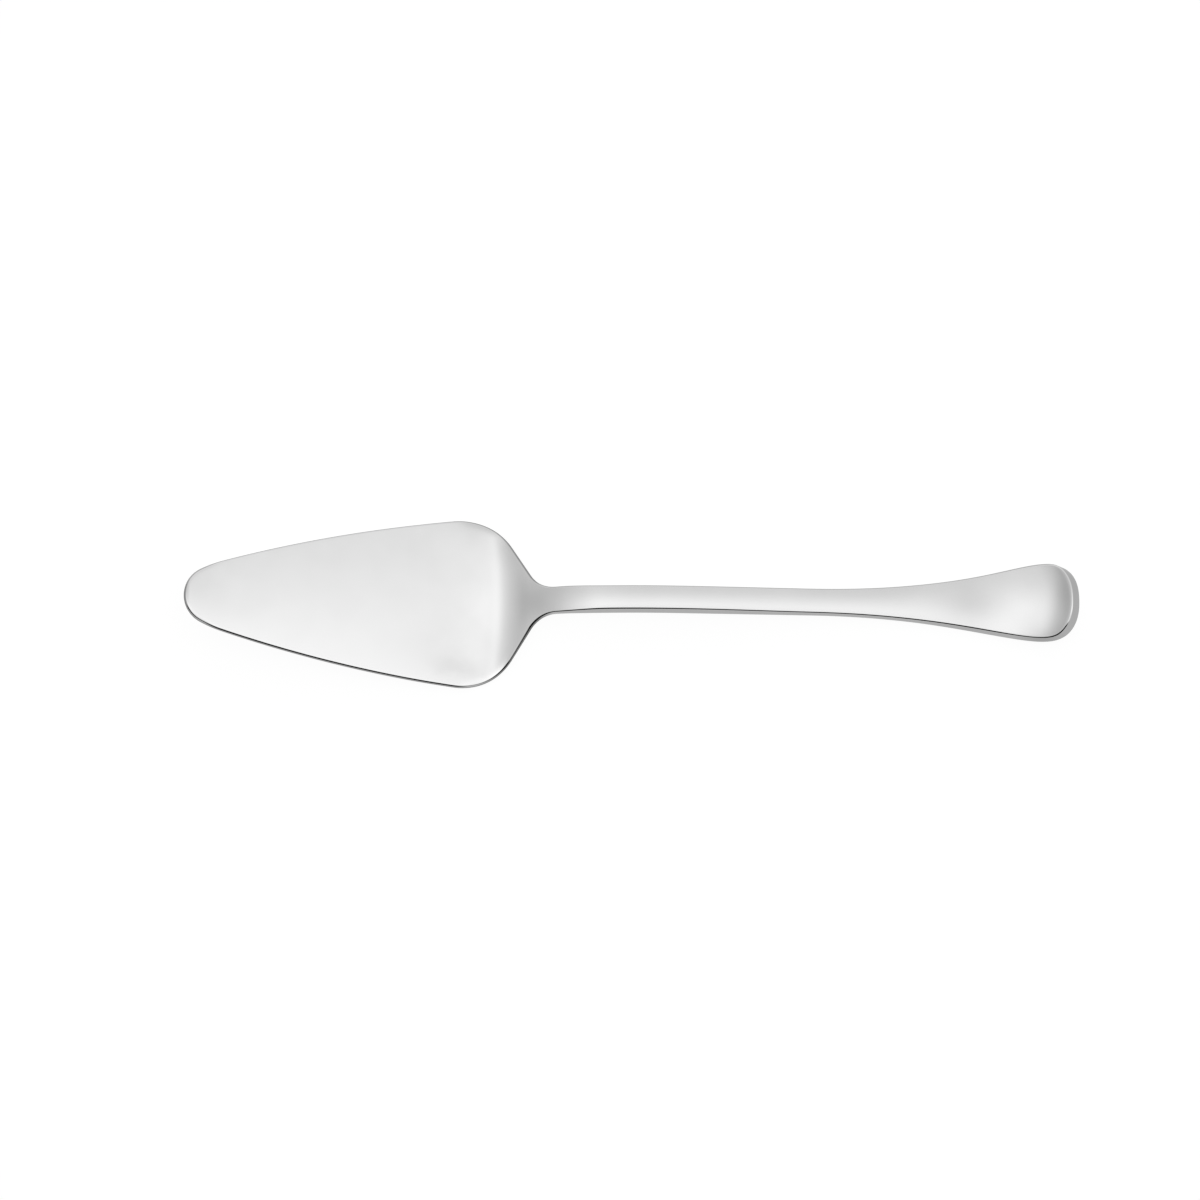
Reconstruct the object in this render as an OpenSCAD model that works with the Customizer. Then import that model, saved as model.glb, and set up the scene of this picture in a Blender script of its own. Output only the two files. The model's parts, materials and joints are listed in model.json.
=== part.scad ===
// Cake server formed from one strip of polished steel: a flat blade, a cranked neck, a slim stem and a
// drop-shaped grip with a turned-up end. It lies as it does on a table, on its heel and the belly of the
// grip, with the tip towards -X and the middle of its footprint at the origin.

/* [Blade] */
// Length along the strip from the tip to the widest place
blade_l = 77.2; // [50:0.2:120]
// Greatest width of the blade
blade_w = 47.6; // [40:0.2:70]
// Thickness of the blade
blade_t = 1.3; // [0.8:0.1:2.5]
// Radius of the rounded tip
nose_r = 9; // [5:0.5:14]
// Radius of the two long, slightly bowed sides
side_r = 375; // [200:5:900]
// Radius of the two shoulders
shoulder_r = 17.5; // [10:0.5:20]
// Flat left between the widest place and the heel bend
heel_gap = 1.6; // [0.4:0.2:5]

/* [Neck] */
// Angle between the middle line and the straight part of the shoulders, in degrees
shoulder_angle = 56; // [40:0.2:70]
// Radius of the hollow where the shoulders run into the stem
fillet_r = 9.2; // [5:0.2:14]

/* [Handle] */
// Length along the strip from the start of the heel bend to the end of the grip
handle_l = 172.8; // [140:0.2:220]
// Width of the stem
stem_w = 7.5; // [5:0.1:11]
// Edge thickness of the stem where it is heaviest
stem_t = 3.3; // [2.5:0.1:6]
// Edge thickness where the stem is thinnest, before the grip
waist_t = 2; // [1.5:0.1:4]
// Greatest width of the grip
end_w = 21.9; // [14:0.1:32]
// Edge thickness of the grip
end_t = 3.1; // [2:0.1:6]
// Length of the rounded end, from the widest place of the grip
end_round = 10.3; // [7:0.1:18]
// Squareness of the rounded end, 2 for an ellipse
end_power = 2.35; // [2:0.05:3]
// Length along the strip of the flare from the stem to the widest place of the grip
flare_l = 65.6; // [40:0.2:80]
// Rise of the stem's top face over its edges as a share of the half width
crown_share = 0.07; // [0.02:0.01:0.15]
// Rise of the grip's top face over its edges at the widest place, as a share of the half width
end_crown_share = 0.05; // [0.02:0.01:0.15]
// Lean of the handle's edges, in degrees
draft_angle = 5.5; // [1:0.5:10]

/* [Bends] */
// Bend at the heel that lifts the neck, in degrees
heel_angle = 31.5; // [15:0.1:40]
// Length along the strip of the heel bend
heel_bend_l = 18.2; // [8:0.1:22]
// Run of the heel bend towards the tip at the blade's edges, where its line is bowed
heel_bow = 2.3; // [0:0.1:4]
// Bend back at the top of the neck, in degrees
neck_angle = 19.4; // [8:0.1:25]
// Length along the strip of the bend at the top of the neck
neck_bend_l = 16; // [12:0.5:32]
// Downward arch of the stem, in degrees
arch_angle = 7.8; // [2:0.1:12]
// Length along the strip of the arch
arch_l = 34; // [20:0.5:60]
// Upward sweep of the grip's belly, in degrees
belly_angle = 17.4; // [8:0.1:22]
// Length along the strip of the belly
belly_l = 42; // [30:0.5:60]
// Turned-up end of the grip, in degrees
curl_angle = 25; // [10:0.1:50]
// Length along the strip of the turned-up end
curl_l = 13.2; // [8:0.1:18]
// Run towards the tip, at the grip's edges, of the dish in the top of the turned-up end
curl_bow = 3; // [0:0.1:5]

/* [Fineness] */
// Stations along each curved part of the outline
curve_steps = 14; // [8:1:30]
// Stations along the stem and along the flare
long_steps = 24; // [12:1:48]
// Strips across the top face
across_steps = 8; // [4:2:16]
// Sides of the full circles of the outline
$fn = 180; // [60:12:360]

/* [Hidden] */
steel = [0.77, 0.78, 0.79];
overrun = blade_t;

// middles of the long curves and places where the thickness and lean change, as shares of the handle
neck_at_share = 0.1535;
arch_at_share = 0.285;
belly_at_share = 0.862;
swell_share = 0.1;
lean_share = 0.14;
full_share = 0.243;
hold_share = 0.32;
waist_share = 0.64;
heavy_share = 0.927;

// middle of the turned-up end, back from the end, as a share of its length
curl_back_share = 0.37;

// handles of the flare's curve, as shares of its length
flare_in_share = 0.592;
flare_out_share = 0.143;

// outline of the flat strip, measured from the tip
half_w = blade_w / 2;
half_stem = stem_w / 2;
half_end = end_w / 2;
turn_r = min(shoulder_r, half_w);
nose = [nose_r, 0];
shoulder = [blade_l, half_w - turn_r];
reach = norm(shoulder - nose);
lead = (shoulder - nose) / reach;
nose_gap = side_r - nose_r;
turn_gap = side_r - turn_r;
along = (nose_gap * nose_gap - turn_gap * turn_gap + reach * reach) / (2 * reach);
across = sqrt(nose_gap * nose_gap - along * along);
side = nose + along * lead + across * [lead[1], -lead[0]];
nose_end = nose + nose_r * (nose - side) / nose_gap;
side_end = shoulder + turn_r * (shoulder - side) / turn_gap;

heel_start = blade_l + heel_gap;
heel_at = heel_start + heel_bend_l / 2;
strip_l = heel_start + handle_l;
fall = half_w - half_stem;
curved_r = turn_r + fillet_r;
neck_turn = min(shoulder_angle, acos(1 - min(1, fall / curved_r)));
straight_fall = max(0, fall - curved_r * (1 - cos(neck_turn)));
shoulder_end = shoulder[0] + turn_r * sin(neck_turn);
neck_end = shoulder[0] + curved_r * sin(neck_turn) + straight_fall / tan(neck_turn);
first_turn = asin(heel_gap / turn_r);
end_at = strip_l - end_round;
flare_at = end_at - flare_l;
neck_at = heel_start + neck_at_share * handle_l;
arch_at = heel_start + arch_at_share * handle_l;
belly_at = heel_start + belly_at_share * handle_l;
curl_at = strip_l - curl_back_share * curl_l;

// stations of the bent part: place along the strip and half width
neck_stations = concat(
    [for (i = [0:curve_steps])
        let (a = first_turn + (neck_turn - first_turn) * i / curve_steps)
        [shoulder[0] + turn_r * sin(a), shoulder[1] + turn_r * cos(a)]],
    [for (i = [straight_fall > 0 ? 0 : 1:curve_steps])
        let (a = neck_turn * (1 - i / curve_steps))
        [neck_end - fillet_r * sin(a), half_stem + fillet_r * (1 - cos(a))]]);
stem_stations = [for (i = [1:long_steps])
    [neck_end + (flare_at - neck_end) * i / long_steps, half_stem]];
grip_stations = concat(
    [for (i = [1:long_steps])
        let (t = i / long_steps, r = 1 - t)
        let (run = 3 * r * r * t * flare_in_share + 3 * r * t * t * (1 - flare_out_share) + t * t * t)
        [flare_at + flare_l * run, half_stem + (half_end - half_stem) * t * t * (3 - 2 * t)]],
    [for (i = [1:curve_steps])
        let (a = 90 * (i < curve_steps ? i : i - 1 / 2) / curve_steps)
        [end_at + end_round * pow(sin(a), 2 / end_power), half_end * pow(cos(a), 2 / end_power)]]);
stations = concat(neck_stations, stem_stations, grip_stations);
neck_last = len(neck_stations) - 1;
stem_last = neck_last + len(stem_stations);
grip_last = stem_last + len(grip_stations);

// slope, thickness, lean of the edges and crown along the strip
function ease(u) =
    let (t = min(max(u, 0), 1))
    t * t * t * (t * (6 * t - 15) + 10);
function bend(s, at, over) = ease((s - at) / over + 1 / 2);
function slope(s) =
    heel_angle * bend(s, heel_at, heel_bend_l)
    - neck_angle * bend(s, neck_at, neck_bend_l)
    - arch_angle * bend(s, arch_at, arch_l)
    + belly_angle * bend(s, belly_at, belly_l)
    + curl_angle * bend(s, curl_at, curl_l);
function part_way(s, from, to) = ease((s - from) / (to - from));
function thickness(s) =
    let (h = (s - heel_start) / handle_l)
    blade_t
    + (stem_t - blade_t) * part_way(h, swell_share, full_share)
    + (waist_t - stem_t) * part_way(h, hold_share, waist_share)
    + (end_t - waist_t) * part_way(h, waist_share, heavy_share);
function lean(s) = tan(draft_angle) * part_way((s - heel_start) / handle_l, lean_share, full_share);
function crown(s) =
    crown_share * part_way(s, shoulder_end, neck_end)
    + (end_crown_share - crown_share) * part_way(s, flare_at, end_at);

// lift of the edges where the heel's line is bowed, and rise of the dished top towards the corners of the
// end: what the bend climbs over its run ahead
function climb(u) =
    let (t = min(max(u, 0), 1))
    t * t * t * t * (t * (t - 3) + 5 / 2) + max(u - 1, 0);
function bowed(s, ahead, at, over, angle) =
    let (u = (s - at) / over + 1 / 2)
    angle * PI / 180 * over * (climb(u + ahead / over) - climb(u));
function lift(s, y) =
    let (ahead = heel_bow * pow(y / half_w, 2) * (1 - part_way(s, shoulder_end, neck_end)))
    bowed(s, ahead, heel_at, heel_bend_l, heel_angle);
function dish(s, y) =
    bowed(s, curl_bow * pow(y / half_end, 2), curl_at, curl_l, curl_angle);

// underside of the bent part, seen from the side, with the blade level
function stride(i) =
    let (from = stations[i][0], to = stations[i + 1][0])
    let (a = slope((from + to) / 2))
    (to - from) * [cos(a), sin(a)];
path = [for (i = 0, p = [heel_start, 0]; i <= grip_last;
    p = i < grip_last ? p + stride(i) : p, i = i + 1) p];

// turn about Y at which the heel and the belly of the grip both touch the table
function lowest(turn, from, to) =
    min([for (i = [from:to]) path[i][1] * cos(turn) - path[i][0] * sin(turn)]);
function settle(low, high, rounds) =
    let (turn = (low + high) / 2)
    rounds == 0 ? turn :
    lowest(turn, 0, neck_last) < lowest(turn, stem_last, grip_last)
    ? settle(turn, high, rounds - 1)
    : settle(low, turn, rounds - 1);
lie = settle(0, heel_angle, 40);
floor_z = lowest(lie, 0, grip_last);
middle_x = max([for (p = path) p[0] * cos(lie) + p[1] * sin(lie)]) / 2;

// one ring of points around the strip, the underside first, and the skin over a run of rings
function laid(x, y, z) =
    [x * cos(lie) + z * sin(lie) - middle_x, y, z * cos(lie) - x * sin(lie) - floor_z];
function ring(i) =
    let (s = stations[i][0], w = stations[i][1], a = slope(s), t = thickness(s))
    let (top_w = w - lean(s) * t, rise = crown(s) * w)
    concat(
        [for (k = [0:across_steps])
            let (u = 2 * k / across_steps - 1, n = lift(s, u * w))
            laid(path[i][0] - n * sin(a), u * w, path[i][1] + n * cos(a))],
        [for (k = [0:across_steps])
            let (u = 2 * k / across_steps - 1, n = t + rise * (1 - u * u) + lift(s, u * w) + dish(s, u * w))
            laid(path[i][0] - n * sin(a), u * top_w, path[i][1] + n * cos(a))]);
function halves(quads) = [for (q = quads) each [[q[0], q[1], q[2]], [q[0], q[2], q[3]]]];

module strip(from, to) {
    row = across_steps + 1;
    size = 2 * row;
    last = size * (to - from);
    cells = [for (j = [0:to - from - 1], k = [0:across_steps - 1]) [j * size, k]];
    under = [for (c = cells)
        let (p = c[0] + c[1])
        [p, p + size, p + size + 1, p + 1]];
    top = [for (c = cells)
        let (p = c[0] + row + c[1])
        [p, p + 1, p + size + 1, p + size]];
    edges = [for (j = [0:to - from - 1])
        let (p = j * size, q = p + row - 1)
        each [[p, p + row, p + row + size, p + size], [q, q + size, q + row + size, q + row]]];
    ends = [for (k = [0:across_steps - 1])
        each [[k, k + 1, k + 1 + row, k + row],
            [last + k, last + k + row, last + k + 1 + row, last + k + 1]]];
    polyhedron(
        points = [for (i = [from:to]) each ring(i)],
        faces = halves(concat(under, top, edges, ends)),
        convexity = 6);
}

module span(from, to) {
    translate([from, -blade_w])
        square([to - from, 2 * blade_w]);
}

module blade_outline() {
    // rounded tip
    intersection() {
        translate(nose)
            circle(r = nose_r);
        span(-overrun, nose_end[0] + overrun);
    }
    // bowed sides
    intersection() {
        translate(side)
            circle(r = side_r);
        translate([side[0], -side[1]])
            circle(r = side_r);
        span(nose_end[0], side_end[0]);
    }
    // shoulders up to the heel bend
    intersection() {
        union() {
            for (way = [-1, 1])
                translate([shoulder[0], way * shoulder[1]])
                    circle(r = turn_r);
            translate([shoulder[0] - turn_r, -shoulder[1]])
                square([2 * turn_r, 2 * shoulder[1]]);
        }
        span(side_end[0] - overrun, heel_start);
    }
}

// flat serving blade
module blade() {
    color(steel)
        translate([-middle_x, 0, -floor_z])
            rotate([0, lie, 0])
                linear_extrude(height = blade_t)
                    blade_outline();
}

// cranked neck with the heel bend and the shoulders
module neck() {
    color(steel)
        strip(0, neck_last);
}

// slim arched stem
module stem() {
    color(steel)
        strip(neck_last, stem_last);
}

// drop-shaped grip with the turned-up end
module grip() {
    color(steel)
        strip(stem_last, grip_last);
}

blade();
neck();
stem();
grip();
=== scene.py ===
# %% [markdown]
# # A cake server, formed flat and then bent
# The real server is one piece of stainless steel. A blank is cut from sheet, its edges are rolled soft,
# and a press bends it at the heel, the neck and the end of the grip before it is polished bright.
# This lesson follows the same order: draw the outline of the flat blank, give it thickness and soft
# edges, bend it, and only then polish and light it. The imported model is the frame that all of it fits.

# %% Load the frame
import json
import math

import bmesh
import bpy
import numpy as np
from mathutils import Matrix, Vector


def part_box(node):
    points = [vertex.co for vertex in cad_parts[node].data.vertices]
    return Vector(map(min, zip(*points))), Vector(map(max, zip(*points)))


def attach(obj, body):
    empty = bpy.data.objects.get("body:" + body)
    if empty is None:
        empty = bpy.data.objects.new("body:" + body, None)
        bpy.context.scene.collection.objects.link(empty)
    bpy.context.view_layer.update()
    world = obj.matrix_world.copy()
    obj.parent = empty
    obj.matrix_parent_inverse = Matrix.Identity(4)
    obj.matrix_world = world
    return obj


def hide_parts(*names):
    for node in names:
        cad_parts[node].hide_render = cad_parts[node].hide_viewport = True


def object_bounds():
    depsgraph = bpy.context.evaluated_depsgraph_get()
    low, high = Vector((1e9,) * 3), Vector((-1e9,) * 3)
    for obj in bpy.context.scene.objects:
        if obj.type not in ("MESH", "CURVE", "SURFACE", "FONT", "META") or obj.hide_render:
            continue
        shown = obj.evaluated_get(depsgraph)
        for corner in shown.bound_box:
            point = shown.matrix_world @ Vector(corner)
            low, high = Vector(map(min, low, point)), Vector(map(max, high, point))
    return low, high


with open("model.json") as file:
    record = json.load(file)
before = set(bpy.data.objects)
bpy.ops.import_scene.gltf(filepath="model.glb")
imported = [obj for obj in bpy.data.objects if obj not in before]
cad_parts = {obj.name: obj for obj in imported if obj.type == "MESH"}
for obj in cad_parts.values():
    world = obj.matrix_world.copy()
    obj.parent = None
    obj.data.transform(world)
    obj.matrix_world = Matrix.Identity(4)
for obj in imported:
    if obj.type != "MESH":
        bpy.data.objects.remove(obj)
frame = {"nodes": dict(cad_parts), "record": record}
cad_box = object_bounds()
print("nodes", sorted(frame["nodes"]), "box", [[round(v, 4) for v in corner] for corner in cad_box])

# %% [markdown]
# ## Sizes that the frame gives
# Widths come straight from the boxes of the nodes. The two flat faces of the blade are mounts in the
# record, so the thickness of the blade, its slope on the table and the height of its tip come from them,
# and none of these has to be fitted by eye.

# %% Read widths, thickness and slope
MM = 0.001


def node_width(node):
    low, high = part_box(node)
    return (high[1] - low[1]) / MM


mounts = {m["name"]: m for m in frame["record"]["mounts"]}
face_point = Vector(mounts["slice_face"]["pos_m"]) / MM
face_axis = Vector(mounts["slice_face"]["axis"]).normalized()
under_point = Vector(mounts["blade_underside"]["pos_m"]) / MM
blade_t = (face_point - under_point).dot(face_axis)
blade_w, stem_w, grip_w = node_width("blade"), node_width("stem"), node_width("grip")
lie = math.atan2(face_axis.x, face_axis.z)
tip_x = cad_box[0][0] / MM
tip_z = under_point.z + (under_point.x - tip_x) * math.tan(lie)
print(f"blade {blade_w:.1f} x {blade_t:.2f} mm, stem {stem_w:.1f}, grip {grip_w:.1f}")
print(f"lies at {math.degrees(lie):.2f} degrees, tip {tip_z:.2f} mm above the table")

# %% [markdown]
# ## The outline of the flat blank
# Seen flat, half of the blank is a chain of arcs: a round tip, a long bowed side, a shoulder, a straight,
# a hollow that runs into the stem, the stem itself, a flare and a rounded end. A chain of arcs could be
# drawn as a curve object, but the edges are rolled along it later, so it is kept as points with their
# outward directions. `s` runs from the tip along the middle line, `w` is the half width there. The lengths
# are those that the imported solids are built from. One arc would leave the tip a trace square, so a slightly
# smaller one is led into the side by a wider one.

# %% Driving sizes of the blank, in millimetres
blade_l = 77.2  # tip to the widest place
nose_r = 9.0  # the plain round tip that the side would lead into
tip_r, cheek_r = 8.4, 35.0  # the finer tip: its round, and the arc that leads it into the side
side_r = 375.0
shoulder_r = 17.5
heel_gap = 1.6  # widest place to the start of the heel bend
shoulder_angle = math.radians(56.0)
fillet_r = 9.2  # hollow between shoulder and stem
handle_l = 172.8
flare_l = 65.6
end_round = 10.3
end_power = 2.35  # 2 would be an ellipse, more is squarer
flare_in_share, flare_out_share = 0.592, 0.143  # how long the flare stays slim, and stays wide

half_w, half_stem, half_end = blade_w / 2, stem_w / 2, grip_w / 2
heel_start = blade_l + heel_gap
strip_l = heel_start + handle_l
end_at = strip_l - end_round
flare_at = end_at - flare_l
print(f"blank {strip_l:.1f} mm long, bends from {heel_start:.1f} mm, flares from {flare_at:.1f} mm")

# %% Centres of the arcs


def meeting(a, a_reach, b, b_reach):
    """The point at these distances from a and b, on the right of the way from a to b."""
    gap = np.linalg.norm(b - a)
    lead = (b - a) / gap
    along = (a_reach**2 - b_reach**2 + gap**2) / (2 * gap)
    return a + along * lead + math.sqrt(a_reach**2 - along**2) * np.array([lead[1], -lead[0]])


nose, tip = np.array([nose_r, 0.0]), np.array([tip_r, 0.0])
shoulder = np.array([blade_l, half_w - shoulder_r])
side = meeting(nose, side_r - nose_r, shoulder, side_r - shoulder_r)
cheek = meeting(side, side_r - cheek_r, tip, cheek_r - tip_r)

fall = half_w - half_stem - (shoulder_r + fillet_r) * (1 - math.cos(shoulder_angle))
neck_end = blade_l + (shoulder_r + fillet_r) * math.sin(shoulder_angle) + fall / math.tan(shoulder_angle)
hollow = np.array([neck_end, half_stem + fillet_r])
print("centre of the bowed side", side.round(1), "neck ends at", round(neck_end, 2))

# %% Walk along the outline, stretch by stretch


def arc(centre, radius, start, stop, steps):
    a = np.linspace(start, stop, steps + 1)
    return centre + radius * np.stack([np.cos(a), np.sin(a)], 1)


def angle_to(point, centre):
    return math.atan2(*(point - centre)[::-1])


def flare(steps):
    t = np.linspace(0, 1, steps + 1)
    run = 3 * (1 - t) ** 2 * t * flare_in_share + 3 * (1 - t) * t**2 * (1 - flare_out_share) + t**3
    return np.stack([flare_at + flare_l * run, half_stem + (half_end - half_stem) * t**2 * (3 - 2 * t)], 1)


def round_end(steps):
    a = np.linspace(0, math.pi / 2, steps + 1)
    wide = np.clip(np.cos(a), 0, 1) ** (2 / end_power)
    wide[-1] = 0.0
    return np.stack([end_at + end_round * np.sin(a) ** (2 / end_power), half_end * wide], 1)


def straight(start, stop, steps):
    return np.linspace(start, stop, steps + 1)


quarter = math.pi / 2
heel_turn = quarter - math.asin(heel_gap / shoulder_r)
shoulder_stop = quarter - shoulder_angle
fillet_start = -quarter - shoulder_angle
shoulder_arc = arc(shoulder, shoulder_r, heel_turn, shoulder_stop, 30)
hollow_arc = arc(hollow, fillet_r, fillet_start, -quarter, 24)
stretches = [  # the last number of each is its count of steps
    ("blade", arc(tip, tip_r, math.pi, angle_to(tip, cheek), 26)),
    ("blade", arc(cheek, cheek_r, angle_to(tip, cheek), angle_to(cheek, side), 9)),
    ("blade", arc(side, side_r, angle_to(cheek, side), angle_to(shoulder, side), 66)),
    ("blade", arc(shoulder, shoulder_r, angle_to(shoulder, side), heel_turn, 6)),
    ("neck", shoulder_arc),
    ("neck", straight(shoulder_arc[-1], hollow_arc[0], 8)),
    ("neck", hollow_arc),
    ("stem", straight([neck_end, half_stem], [flare_at, half_stem], 70)),
    ("grip", flare(72)),
    ("grip", round_end(44)),
]
outline = np.concatenate([stretches[0][1]] + [points[1:] for _, points in stretches[1:]])
outline[0, 1] = 0.0
zones = [zone for zone, points in stretches for _ in points[1:]]
tangent = np.gradient(outline, axis=0)
outward = np.stack([-tangent[:, 1], tangent[:, 0]], 1)
outward /= np.linalg.norm(outward, axis=1, keepdims=True)
outward[0], outward[-1] = (-1, 0), (1, 0)
print(len(outline), "stations, widest", round(outline[:, 1].max(), 2), "mm from the middle")

# %% [markdown]
# ## Thickness, crown and bends
# The blade is thin, the stem is two and a half times as thick, and past a slimmer waist the end is nearly
# as thick as the stem, so the thickness changes along the strip. So does the slope: five soft bends add up
# to the side view. A curve modifier could bend the blank, but a formula keeps the flat coordinates, which
# the edges and the grain use too. Each change is an easing curve, because a polished face shows a kink of
# half a degree as a hard line.

# %% Thickness and lean of the edges along the strip
stem_t, waist_t, grip_t = 3.3, 2.0, 3.1
swell_share, full_share, hold_share = 0.1, 0.243, 0.32  # along the handle: swells from, full at, holds until
waist_share, heavy_share = 0.64, 0.927  # thinnest at the waist, heavy again in the grip
lean_share = 0.14  # from here the edges lean in
draft = math.tan(math.radians(5.5))
shoulder_end = blade_l + shoulder_r * math.sin(shoulder_angle)


def ease(u):
    u = np.clip(u, 0, 1)
    return u**3 * (u * (6 * u - 15) + 10)


def part_way(s, start, stop):
    return ease((s - start) / (stop - start))


def thickness(s):
    h = (s - heel_start) / handle_l
    return (blade_t + (stem_t - blade_t) * part_way(h, swell_share, full_share)
            + (waist_t - stem_t) * part_way(h, hold_share, waist_share)
            + (grip_t - waist_t) * part_way(h, waist_share, heavy_share))


def lean(s):
    return draft * part_way((s - heel_start) / handle_l, lean_share, full_share)


def half_width(s):
    return np.interp(s, outline[:, 0], outline[:, 1])


blade_stem_waist_grip = np.array([40.0, 130.0, 189.0, 240.0])
print("edge thickness at blade, stem, waist and grip", thickness(blade_stem_waist_grip).round(2))

# %% The five bends and the line they give
heel_l, neck_l, arch_l, belly_l, curl_l = 18.2, 16.0, 34.0, 42.0, 13.2  # length along the strip
neck_share, arch_share, belly_share = 0.1535, 0.285, 0.862  # middle of the bend, as a share of the handle
curl_back = 0.37  # the curl's middle is this share of its length before the end
bends = {  # middle, length, angle
    "heel": (heel_start + heel_l / 2, heel_l, math.radians(31.5)),
    "neck": (heel_start + neck_share * handle_l, neck_l, math.radians(-19.4)),
    "arch": (heel_start + arch_share * handle_l, arch_l, math.radians(-7.8)),
    "belly": (heel_start + belly_share * handle_l, belly_l, math.radians(17.4)),
    "curl": (strip_l - curl_back * curl_l, curl_l, math.radians(25.0)),
}
line_points = 5000


def slope(s):
    return sum(angle * ease((s - at) / over + 0.5) for at, over, angle in bends.values()) - lie


fine_s = np.linspace(0, strip_l, line_points)
middle = slope((fine_s[1:] + fine_s[:-1]) / 2)
step = fine_s[1] - fine_s[0]
line_x = tip_x + np.concatenate([[0], np.cumsum(step * np.cos(middle))])
line_z = tip_z + np.concatenate([[0], np.cumsum(step * np.sin(middle))])
line_z -= min(line_z.min(), 0)  # the finer line rests on the table, not in it


def bent(s, y, n):
    """Places a point of the flat blank, n above its underside, on the bent server, in metres."""
    a = slope(s)
    x = np.interp(s, fine_s, line_x) - n * np.sin(a)
    z = np.interp(s, fine_s, line_z) + n * np.cos(a)
    return np.stack([x, y, z], -1) * MM


print(f"lowest point of the line {line_z.min():.3f} mm, end at {line_x[-1]:.2f} mm, {line_z[-1]:.2f} mm")

# %% [markdown]
# Two of the bends don't run straight across. The heel starts to bend earlier at the edges than in the
# middle, so its edges stand a little higher, and the turned-up end is dished on top in the same way. The
# rise is what the bend climbs over that head start; the climb is the integral of the easing curve.

# %% Bowed bend lines
heel_bow, curl_bow = 2.3, 3.0  # head start of the edges, in millimetres


def climb(u):
    v = np.clip(u, 0, 1)
    return v**4 * (v * (v - 3) + 2.5) + np.maximum(u - 1, 0)


def bowed(s, ahead, bend):
    at, over, angle = bend
    u = (s - at) / over + 0.5
    return angle * over * (climb(u + ahead / over) - climb(u))


def lift(s, y):
    return bowed(s, heel_bow * (y / half_w) ** 2 * (1 - part_way(s, shoulder_end, neck_end)), bends["heel"])


def dish(s, y):
    return bowed(s, curl_bow * (y / half_end) ** 2, bends["curl"])


print(f"edges rise {lift(92.0, 18.0):.2f} mm at the shoulders, {dish(247.0, 8.0):.2f} mm at the end")

# %% [markdown]
# ## One section after another
# Every section is a ring: across the top, over a narrow soft bevel, down the leaning flank, round the
# lower edge and back underneath. The bevel follows the outward direction of the outline, not the section,
# so it runs round the tip and the end of the grip as it does along the sides. It is what draws the thin
# dark line on the near side and the thin bright one round the end. A bevel modifier would round every edge
# alike; a list of turns and lengths gives flats that mirror what they should. The handle's top is crowned,
# the blade is vaulted across by up to 0.6 mm, about half as much at the heel, where it touches the table,
# and polishing rolls the last of the face down at the tip, at the shoulders and along the handle.

# %% Distance to the outline
outline_points, points_at_once = 4000, 500
stations = np.linspace(0, len(outline) - 1, outline_points)
dense_outline = np.stack([np.interp(stations, np.arange(len(outline)), outline[:, k]) for k in (0, 1)], 1)


def edge_distance(s, y):
    """Distance from each point of the blank to its outline."""
    points = np.stack([s.ravel(), np.abs(y).ravel()], 1)
    gaps = [np.hypot(*(dense_outline[None] - chunk[:, None]).transpose(2, 0, 1)).min(1)
            for chunk in np.array_split(points, max(1, len(points) // points_at_once))]
    return np.concatenate(gaps).reshape(s.shape)


print("middle of the blade to its edge", edge_distance(np.array([60.0]), np.array([0.0])).round(2), "mm")

# %% Height of the top face and of the underside
crown_share, end_crown_share, vault_share = 0.07, 0.05, 0.0265  # of the half width
roll_share, roll_least, roll_most, roll_slope = 0.12, 0.3, 2.0, 0.18  # width of the rolled margin, its slope
tip_roll, tip_roll_out = 2.5, (3.0, 12.0)  # the tip is rolled more, up to here
shoulder_roll_in, shoulder_roll_out = (blade_l - 3, blade_l + 5), (88.5, 92.5)
handle_roll_in = (neck_end, neck_end + 8)
vault_heel = (60.0, 80.0)  # here the vault sinks to half
least_w = 0.3


def vault(s):
    return vault_share * (1 - part_way(s, shoulder_end, neck_end)) * (1 - part_way(s, *vault_heel) / 2)


def rolled_margin(s, y):
    margin = np.clip(roll_share * half_width(np.clip(s, nose_r, end_at)), roll_least, roll_most)
    rolled = roll_slope * margin / 2 * np.clip(1 - edge_distance(s, y) / margin, 0, 1) ** 2
    shoulders = part_way(s, *shoulder_roll_in) * (1 - part_way(s, *shoulder_roll_out))
    return rolled * (tip_roll * (1 - part_way(s, *tip_roll_out)) + shoulders + part_way(s, *handle_roll_in))


def top_face(s, y):
    """Height of the top face over the flat underside: thickness, crown or vault, and rolled margin."""
    w = half_width(s)
    across = (y / np.maximum(w - lean(s) * thickness(s), least_w)) ** 2
    handle = part_way(s, shoulder_end, neck_end)
    crown = crown_share * handle + (end_crown_share - crown_share) * part_way(s, flare_at, end_at)
    return thickness(s) + crown * w * (1 - across) - vault(s) * w * across - rolled_margin(s, y) + dish(s, y)


def under_face(s, y):
    w = half_width(s)
    return -vault(s) * w * (y / np.maximum(w, least_w)) ** 2


middle_and_edge = top_face(np.array([60.0, 60.0]), np.array([0.0, 20.0]))
print("top of the blade at its middle and edge", middle_and_edge.round(2))

# %% Profile of the bevel
bevel_turn = np.radians([0, 14, 27, 31, 35, 39, 62, 90])
bevel_length = np.array([0.02, 0.02, 0.15, 0.15, 0.15, 0.08, 0.09])
half_turn = (bevel_turn[1:] + bevel_turn[:-1]) / 2
bevel_run = np.concatenate([[0], np.cumsum(bevel_length * np.cos(half_turn))])
bevel_drop = np.concatenate([[0], np.cumsum(bevel_length * np.sin(half_turn))])
print(f"bevel {bevel_run[-1]:.2f} mm wide and {bevel_drop[-1]:.2f} mm deep")

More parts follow.
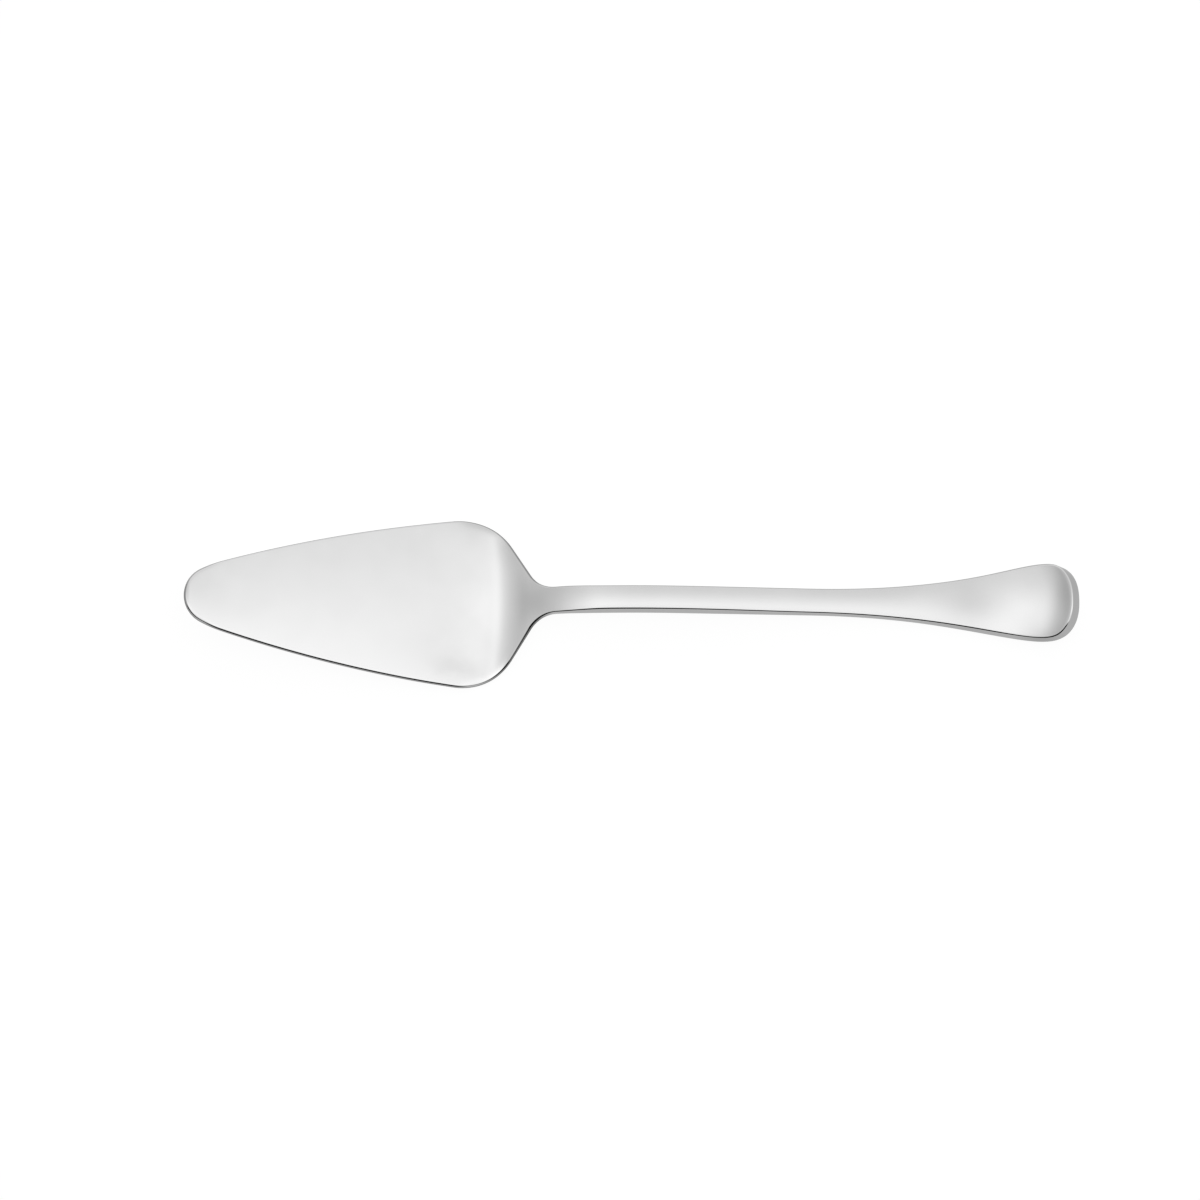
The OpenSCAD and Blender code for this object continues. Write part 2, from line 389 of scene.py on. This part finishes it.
# %% Half a ring at every station: the top and the bevel
top_steps, under_steps, edge_steps = 18, 10, 6
crowding = 1.8  # points crowd towards the edge
end_bevel_less = 0.35  # the bevel is narrower at the very end
bevel_most = 0.45  # share of the edge's height that the bevel may take
under_most, under_share = 0.3, 0.3  # the lower round: its radius, and the share of the edge that it may take


def crowded(steps):
    return (1 - (1 - np.linspace(0, 1, steps + 1)) ** crowding)[None]


def inwards(inset):
    """Points of the blank at this distance inside the outline, for every station."""
    return rim_s - inset * out_s, np.maximum(rim_w - inset * out_w, 0)


rim_s, rim_w = outline[:, :1], outline[:, 1:]
out_s, out_w = outward[:, :1], outward[:, 1:]
rim_t, rim_lean = thickness(rim_s), lean(rim_s)
edge_t = top_face(rim_s, rim_w) - under_face(rim_s, rim_w)
bevel_wanted = 1 - end_bevel_less * part_way(rim_s, end_at, strip_l)
bevel = np.minimum(bevel_wanted, bevel_most * edge_t / bevel_drop[-1])

top_s, top_y = inwards(bevel * bevel_run[-1] + rim_lean * rim_t)
top_s, top_y = np.broadcast_to(top_s, (len(outline), top_steps + 1)), top_y * crowded(top_steps)
top_n = top_face(top_s, top_y)

fallen = bevel * bevel_drop[None, 1:]
edge_s, edge_y = inwards(bevel * (bevel_run[-1] - bevel_run[None, 1:]) + rim_lean * (rim_t - fallen))
edge_n = top_face(edge_s, edge_y) - fallen
print(f"edges {edge_t.min():.2f} to {edge_t.max():.2f} mm high, bevel at least {bevel.min():.2f} of full")

# %% The lower edge and the underside, and the rings closed
under_r = np.minimum(under_most, under_share * edge_t)
turn = np.linspace(0, quarter, edge_steps + 1)[None]
low_s, low_y = inwards(under_r * (1 - np.cos(turn)) + rim_lean * under_r * (1 - np.sin(turn)))
low_n = under_face(low_s, low_y) + under_r * (1 - np.sin(turn))

under_s, under_y = inwards(under_r)
under_s = np.broadcast_to(under_s, (len(outline), under_steps))
under_y = under_y * crowded(under_steps)[:, :under_steps][:, ::-1]
under_n = under_face(under_s, under_y)

half_s = np.concatenate([top_s, edge_s, low_s, under_s], 1)
half_y = np.concatenate([top_y, edge_y, low_y, under_y], 1)
half_n = np.concatenate([top_n, edge_n, low_n, under_n], 1) + lift(half_s, half_y)
ring_s = np.concatenate([half_s, half_s[:, -2:0:-1]], 1)
ring_y = np.concatenate([half_y, -half_y[:, -2:0:-1]], 1)
ring_n = np.concatenate([half_n, half_n[:, -2:0:-1]], 1)
print("rings", ring_s.shape[0], "with", ring_s.shape[1], "points each")

# %% [markdown]
# ## The skin
# The rings become one closed skin. The frame has four nodes, the zones in which the blank is formed, so
# the skin is cut at the same three sections and each cut is closed with a face. A boolean could cut it, but
# along a ring no slivers are left. The cut must not show: each piece keeps the shading normals of the whole
# skin, so the reflections run on across it. Each point also keeps its place on the flat blank, because the
# polishing grain follows the strip round its bends.

# %% The whole skin
places = bent(ring_s, ring_y, ring_n)
flat = np.stack([ring_s, ring_y, ring_n], -1) * MM
margins = edge_distance(ring_s, ring_y) * MM
columns = ring_s.shape[1]
zone_names = ["blade", "neck", "stem", "grip"]
whole = bmesh.new()
zone_layer = whole.faces.layers.int.new("zone")
home_layer = whole.verts.layers.int.new("home")
corners = [whole.verts.new(p) for p in places.reshape(-1, 3)]
for i, corner in enumerate(corners):
    corner[home_layer] = i
for i, zone in enumerate(zones):
    for j in range(columns):
        k = (j + 1) % columns
        quad = [corners[r * columns + c] for r, c in ((i, j), (i, k), (i + 1, k), (i + 1, j))]
        whole.faces.new(quad)[zone_layer] = zone_names.index(zone)
bmesh.ops.remove_doubles(whole, verts=whole.verts[:], dist=1e-8)
bmesh.ops.recalc_face_normals(whole, faces=whole.faces[:])
whole.normal_update()
shading = {v[home_layer]: v.normal.copy() for v in whole.verts}
print(len(whole.verts), "points,", len(whole.faces), "faces,", round(whole.calc_volume() * 1e6, 2), "cm3")

# %% Cut it into the four zones


def zone_piece(zone):
    cut = whole.copy()
    layer = cut.faces.layers.int["zone"]
    home = cut.verts.layers.int["home"]
    others = [f for f in cut.faces if f[layer] != zone_names.index(zone)]
    bmesh.ops.delete(cut, geom=others, context="FACES")
    closing = bmesh.ops.edgeloop_fill(cut, edges=[e for e in cut.edges if e.is_boundary])["faces"]
    for f in closing:
        f[layer] = -1
    bmesh.ops.recalc_face_normals(cut, faces=cut.faces[:])
    cut.normal_update()
    cut.verts.index_update()
    homes = [v[home] for v in cut.verts]
    normals = [f.normal.copy() if f[layer] < 0 else shading[loop.vert[home]]
               for f in cut.faces for loop in f.loops]
    mesh = bpy.data.meshes.new(zone + "_skin")
    cut.to_mesh(mesh)
    cut.free()
    mesh.shade_smooth()
    mesh.normals_split_custom_set(normals)
    blank = mesh.attributes.new("blank", "FLOAT_VECTOR", "POINT")
    blank.data.foreach_set("vector", flat.reshape(-1, 3)[homes].ravel().astype(np.float32))
    margin = mesh.attributes.new("margin", "FLOAT", "POINT")
    margin.data.foreach_set("value", margins.ravel()[homes].astype(np.float32))
    piece = bpy.data.objects.new(zone + "_skin", mesh)
    bpy.context.scene.collection.objects.link(piece)
    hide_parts(zone)
    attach(piece, "root")
    return piece


pieces = {zone: zone_piece(zone) for zone in zone_names}
for zone, piece in pieces.items():
    low = [min(v.co[k] for v in piece.data.vertices) for k in range(3)]
    high = [max(v.co[k] for v in piece.data.vertices) for k in range(3)]
    gap = max(abs(a - b) for a, b in zip(low + high, list(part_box(zone)[0]) + list(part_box(zone)[1])))
    print(piece.name, len(piece.data.polygons), "faces, at most", round(gap / MM, 2), "mm off the node's box")

# %% [markdown]
# ## Polished steel
# Polished stainless steel has next to no colour of its own: it shows the room. What makes it steel and
# not a mirror is small: a faint grain along the strip from the polishing belt, broad ripples that the mop
# leaves in the face, a polish that isn't quite even, and edges of another finish. Painted highlights and
# painted shade are laid over the unevenness and the cut edges as well. A picture of steel could be wrapped
# round the pieces, but noise has no seams and needs no file. It is laid on the flat blank's coordinates, so
# the grain follows the bends.

# %% Helpers to wire nodes, and a bare steel


def wire(tree, kind, sockets=None, **settings):
    node = tree.nodes.new(kind)
    for name, value in settings.items():
        setattr(node, name, value)
    for name, value in (sockets or {}).items():
        if isinstance(value, bpy.types.NodeSocket):
            tree.links.new(value, node.inputs[name])
        else:
            node.inputs[name].default_value = value
    return node


def maths(kind, *values):
    """Works on the node tree at hand, as the next three do."""
    return wire(tree, "ShaderNodeMath", dict(enumerate(values)), operation=kind).outputs[0]


def vectors(kind, *values, output="Vector"):
    return wire(tree, "ShaderNodeVectorMath", dict(enumerate(values)), operation=kind).outputs[output]


def ranged(value, low, high, start, stop, kind="LINEAR"):
    sockets = {"Value": value, "From Min": low, "From Max": high, "To Min": start, "To Max": stop}
    return wire(tree, "ShaderNodeMapRange", sockets, interpolation_type=kind).outputs[0]


def noise(place, scale, detail, roughness):
    sockets = {"Vector": place, "Scale": scale, "Detail": detail, "Roughness": roughness}
    return wire(tree, "ShaderNodeTexNoise", sockets).outputs


steel = bpy.data.materials.new("polished_steel")
steel.use_nodes = True
tree = steel.node_tree
blank = wire(tree, "ShaderNodeAttribute", attribute_name="blank").outputs["Vector"]
margin = wire(tree, "ShaderNodeAttribute", attribute_name="margin").outputs["Fac"]
along_strip = wire(tree, "ShaderNodeSeparateXYZ", {0: blank}).outputs["X"]
print("bare steel with", len(tree.nodes), "nodes")

# %% [markdown]
# A mop never polishes evenly. Most of what the faces show is the studio, and that is left to the light.
# But the heel, the grip and the blade as a whole differ where they mirror the same direction, so the steel
# itself is taken to differ there: the blade is a little brighter than the handle, and soft patches at the
# heel and the grip are brighter or duller, partly uneven polish and partly painted highlight and painted
# shade.
# The patches at the shoulders, at the tip, at the end and before the near shoulder are matched to the photo
# alone: they are painted shade and painted highlights. Each patch is a ragged bell curve on the flat blank,
# so it stays in its place on the metal in every view.

# %% Uneven polish, painted highlights and painted shade
polish_and_painted_light_patches = [  # along, across, half length, half width, change of brightness, ragged by; lengths in mm
    (84.5, -1.0, 5.0, 11.0, 0.09, 4.0),  # hollow of the heel: partly uneven polish, partly a painted highlight
    (85.0, 26.0, 10.0, 5.5, -0.24, 4.0),  # rim of the far shoulder, this and the next: painted shade
    (91.0, 17.0, 5.0, 5.0, -0.12, 4.0),
    (88.5, -19.0, 3.5, 3.0, 0.07, 2.0),  # near shoulder: painted highlight
    (75.0, -18.5, 6.5, 3.5, -0.11, 7.0),  # before the near shoulder, this and the next: painted shade
    (68.0, -14.0, 12.0, 7.0, -0.05, 7.0),
    (3.0, 3.0, 7.0, 9.0, -0.06, 4.0),  # tip, this and the next: painted shade
    (12.0, -3.0, 10.0, 5.0, -0.04, 4.0),
    (220.0, -1.0, 7.0, 5.0, -0.13, 4.0),  # before the hollow of the grip: partly uneven polish, partly painted shade
    (237.5, -1.0, 7.0, 5.0, 0.11, 2.0),  # hollow of the grip: partly uneven polish, partly a painted highlight
    (248.2, 2.2, 3.0, 5.2, -0.13, 1.0),  # turned-up end and its near corner, this and the next: painted shade
    (240.5, -11.5, 5.5, 4.0, -0.20, 2.0),
]
blade_gain, blade_gain_out = 0.084, (88 * MM, 98 * MM)

tone_and_painted_light = ranged(along_strip, *blade_gain_out, 1 + blade_gain, 1.0, "SMOOTHSTEP")
cloud = noise(blank, scale=110.0, detail=4.0, roughness=0.6)
stray = vectors("SUBTRACT", cloud["Color"], (0.5, 0.5, 0.5))
# each patch paints a brighter or darker place into the base colour: painted highlights and painted shade,
# partly uneven polish
for s, y, half_l, half_across, change, ragged in polish_and_painted_light_patches:
    place = vectors("SUBTRACT", blank, (s * MM, y * MM, 0))
    place = vectors("MULTIPLY_ADD", stray, (ragged * MM,) * 3, place)
    place = vectors("MULTIPLY", place, (1 / (half_l * MM), 1 / (half_across * MM), 0))
    apart = vectors("DOT_PRODUCT", place, place, output="Value")
    tone_and_painted_light = maths("MULTIPLY_ADD", maths("EXPONENT", maths("MULTIPLY", apart, -1.0)), change, tone_and_painted_light)
print(len(polish_and_painted_light_patches), "patches,", len(tree.nodes), "nodes so far")

# %% [markdown]
# The edges differ in finish. All round they are smoother than the faces, close to a mirror. The rim of the
# blade and of its shoulders is a cut edge as well, and is painted darker: partly a duller cut edge, partly
# painted shade for the shaded table that the rim mirrors. The tip, which meets the plate, is duller along
# its last millimetre.

# %% Cut edge with painted shade, and rim of the tip
# how much darker the cut edge and the shoulders' edge are painted, as painted shade and partly a duller
# finish, and how much duller the tip's rim is
cut_shade, shoulder_cut_shade, tip_darker = 0.42, 0.6, 0.27
cut_w, shoulder_cut_w, cut_inside = 0.25 * MM, 0.6 * MM, 0.05 * MM
shoulder_cut = (80 * MM, 90 * MM)  # along the strip, from the blade's cut edge to the shoulder's
cut_out = (98 * MM, 105 * MM)  # there it gives way to the bright edge of the handle
tip_rim_out = (0.3 * MM, 1.8 * MM)

# the cut edge's mask: painted shade along the rim of the blade and its shoulders, partly a duller finish
cut_width = ranged(along_strip, *shoulder_cut, cut_w, shoulder_cut_w)
cut_shade_depth = ranged(along_strip, *shoulder_cut, cut_shade, shoulder_cut_shade)
cut_edge_shade = ranged(margin, cut_inside, cut_width, cut_shade_depth, 0.0, "SMOOTHSTEP")
cut_edge_shade = maths("MULTIPLY", cut_edge_shade, ranged(along_strip, *cut_out, 1.0, 0.0, "SMOOTHSTEP"))
tip_rim = ranged(along_strip, *tip_rim_out, tip_darker, 0.0, "SMOOTHSTEP")
for darker in (cut_edge_shade, tip_rim):
    tone_and_painted_light = maths("MULTIPLY", tone_and_painted_light, maths("SUBTRACT", 1.0, darker))
print("with its edges,", len(tree.nodes), "nodes")

# %% Colour, gloss and grain
plain, plain_spread = 0.74, 0.015
gloss_face, gloss_edge = (0.12, 0.17), 0.06  # roughness: the face varies with the cloud, the edge is a mirror
mopped = (0.5 * MM, 1.1 * MM)  # from the edge to the face
cloud_range = (0.3, 0.7)
grain_stretch = (60, 2600, 2600)  # long along the strip, fine across
ripple_depth, grain_depth = 0.00002, 0.000002

shader = tree.nodes["Principled BSDF"]
shader.inputs["Metallic"].default_value = 1.0
bright = ranged(cloud["Fac"], *cloud_range, plain * (1 - plain_spread), plain * (1 + plain_spread))
bright = maths("MULTIPLY", tone_and_painted_light, bright)
grey = wire(tree, "ShaderNodeCombineColor", {0: bright, 1: bright, 2: bright}).outputs[0]
tree.links.new(grey, shader.inputs["Base Color"])
rough = ranged(cloud["Fac"], *cloud_range, *gloss_face)
tree.links.new(ranged(margin, *mopped, gloss_edge, rough), shader.inputs["Roughness"])

grain_place = wire(tree, "ShaderNodeMapping", {"Vector": blank, "Scale": grain_stretch}).outputs[0]
grain = noise(grain_place, scale=1.0, detail=3.0, roughness=0.6)[0]
ripple = noise(blank, scale=42.0, detail=2.0, roughness=0.45)[0]
waves = {"Height": ripple, "Strength": 1.0, "Distance": ripple_depth}
waves = wire(tree, "ShaderNodeBump", waves).outputs[0]
lines = {"Height": grain, "Strength": 0.3, "Distance": grain_depth, "Normal": waves}
tree.links.new(wire(tree, "ShaderNodeBump", lines).outputs[0], shader.inputs["Normal"])
for piece in pieces.values():
    piece.data.materials.append(steel)
print("steel on", len(pieces), "pieces,", len(tree.nodes), "nodes")

# %% [markdown]
# ## Table and studio
# A polished piece is lit by what it mirrors. Overhead hangs a broad soft light; the walls are duller, and
# above the viewer hangs a dark cloth, which draws the thin black line along the near edges. A second soft
# light on the left gives the heel and the hollow of the grip a bright band, and the far left is dim, which
# darkens the turned-up end. Lamps could do it, but steel would mirror their outlines; levels laid on the
# world by direction run softly into each other. The view shows the table as plain white, and the steel
# mirrors it as a grey.

# %% The table
table_half = 4
table_grey, table_white, table_sheen = 0.12, 0.935, 0.48  # as lit, as seen, as mirrored
table_mesh = bpy.data.meshes.new("table")
table_corners = [(x * table_half, y * table_half, 0) for x, y in ((-1, -1), (1, -1), (1, 1), (-1, 1))]
table_mesh.from_pydata(table_corners, [], [(0, 1, 2, 3)])
table = bpy.data.objects.new("table", table_mesh)
bpy.context.scene.collection.objects.link(table)

paper = bpy.data.materials.new("table_paper")
paper.use_nodes = True
tree = paper.node_tree
tree.nodes.remove(tree.nodes["Principled BSDF"])
rays = wire(tree, "ShaderNodeLightPath").outputs
sheen = maths("MULTIPLY", rays["Is Glossy Ray"], table_sheen)
shine = maths("MULTIPLY_ADD", rays["Is Camera Ray"], table_white, sheen)
dull = wire(tree, "ShaderNodeBsdfDiffuse", {"Color": (table_grey, table_grey, table_grey, 1)}).outputs[0]
glow = wire(tree, "ShaderNodeEmission", {"Color": (1, 1, 1, 1), "Strength": shine}).outputs[0]
both = wire(tree, "ShaderNodeAddShader", {0: dull, 1: glow}).outputs[0]
tree.links.new(both, tree.nodes["Material Output"].inputs["Surface"])
table_mesh.materials.append(paper)
print("table", table.dimensions[:])

# %% The studio round it
overhead = 1.24
walls = [  # side, where the wall begins and where it is full, as parts of the direction, and its level
    ("Y", -0.036, 0.46, 0.845),  # beyond the table
    ("Y", 0.06, -0.14, 0.95),  # on the viewer's side
    ("X", -0.084, -0.88, 0.6),  # left
    ("X", -0.7, -0.9, 0.48),  # far left
    ("X", 0.45, 0.95, 0.5),  # right
]
lamp_extra, lamp_right, lamp_left = 0.08, (0.04, -0.27), (-0.46, -0.2)  # the left light and its soft sides
front_level, front_turn, front_from = 0.6, 0.1, (-0.21, -0.42)  # low before the viewer, turned a little
cloth_level, cloth_turn, cloth_from = 0.01, -0.2, (0.36, 0.46)  # the dark cloth above that
backdrop = 1.0  # what the camera itself sees past the table


def towards(value, start, stop):
    return ranged(value, start, stop, 0.0, 1.0, "SMOOTHSTEP")


def shade(below, level, mask):
    sockets = {"Factor": mask, "A": below, "B": level}
    return wire(tree, "ShaderNodeMix", sockets, data_type="FLOAT").outputs["Result"]


world = bpy.context.scene.world or bpy.data.worlds.new("studio")
bpy.context.scene.world = world
world.use_nodes = True
tree = world.node_tree
tree.nodes.clear()
look = wire(tree, "ShaderNodeTexCoord").outputs["Generated"]
look = wire(tree, "ShaderNodeSeparateXYZ", {0: look}).outputs

level = overhead
for side_of, begin, full, wall in walls:
    level = shade(level, wall, towards(look[side_of], begin, full))
lamp = maths("MULTIPLY", towards(look["X"], *lamp_right), towards(look["X"], *lamp_left))
level = maths("MULTIPLY", level, maths("MULTIPLY_ADD", lamp, lamp_extra, 1.0))
front = towards(maths("MULTIPLY_ADD", look["X"], front_turn, look["Y"]), *front_from)
above = towards(maths("MULTIPLY_ADD", look["X"], cloth_turn, look["Z"]), *cloth_from)
level = shade(level, front_level, front)
level = shade(level, cloth_level, maths("MULTIPLY", front, above))
level = shade(level, backdrop, wire(tree, "ShaderNodeLightPath").outputs["Is Camera Ray"])
light = wire(tree, "ShaderNodeBackground", {"Color": (1, 1, 1, 1), "Strength": level}).outputs[0]
tree.links.new(light, wire(tree, "ShaderNodeOutputWorld").inputs["Surface"])
print("studio with", len(tree.nodes), "nodes")

# %% [markdown]
# ## The camera
# The view is steep, from a little in front of straight down, through a long lens. The middle of the
# picture falls on the stem, just past the neck. A constraint could aim the camera, but as it isn't turned
# to the side, one angle is enough.

# %% Place the camera
lens, sensor = 135.0, 36.0
elevation = math.radians(77.0)
mm_per_pixel = 0.279
picture = 1200
aim = Vector((-9.09, 1.553, 0.0)) * MM
distance = lens / sensor * picture * mm_per_pixel * MM
camera_data = bpy.data.cameras.new("camera")
camera_data.lens, camera_data.sensor_width = lens, sensor
camera = bpy.data.objects.new("camera", camera_data)
camera.location = aim + distance * Vector((0, -math.cos(elevation), math.sin(elevation)))
camera.rotation_euler = (math.pi / 2 - elevation, 0, 0)
bpy.context.scene.collection.objects.link(camera)
bpy.context.scene.camera = camera
bpy.context.scene.view_settings.view_transform = "Standard"
print("camera at", [round(v, 3) for v in camera.location])

# %% Update the view layer
bpy.context.view_layer.update()
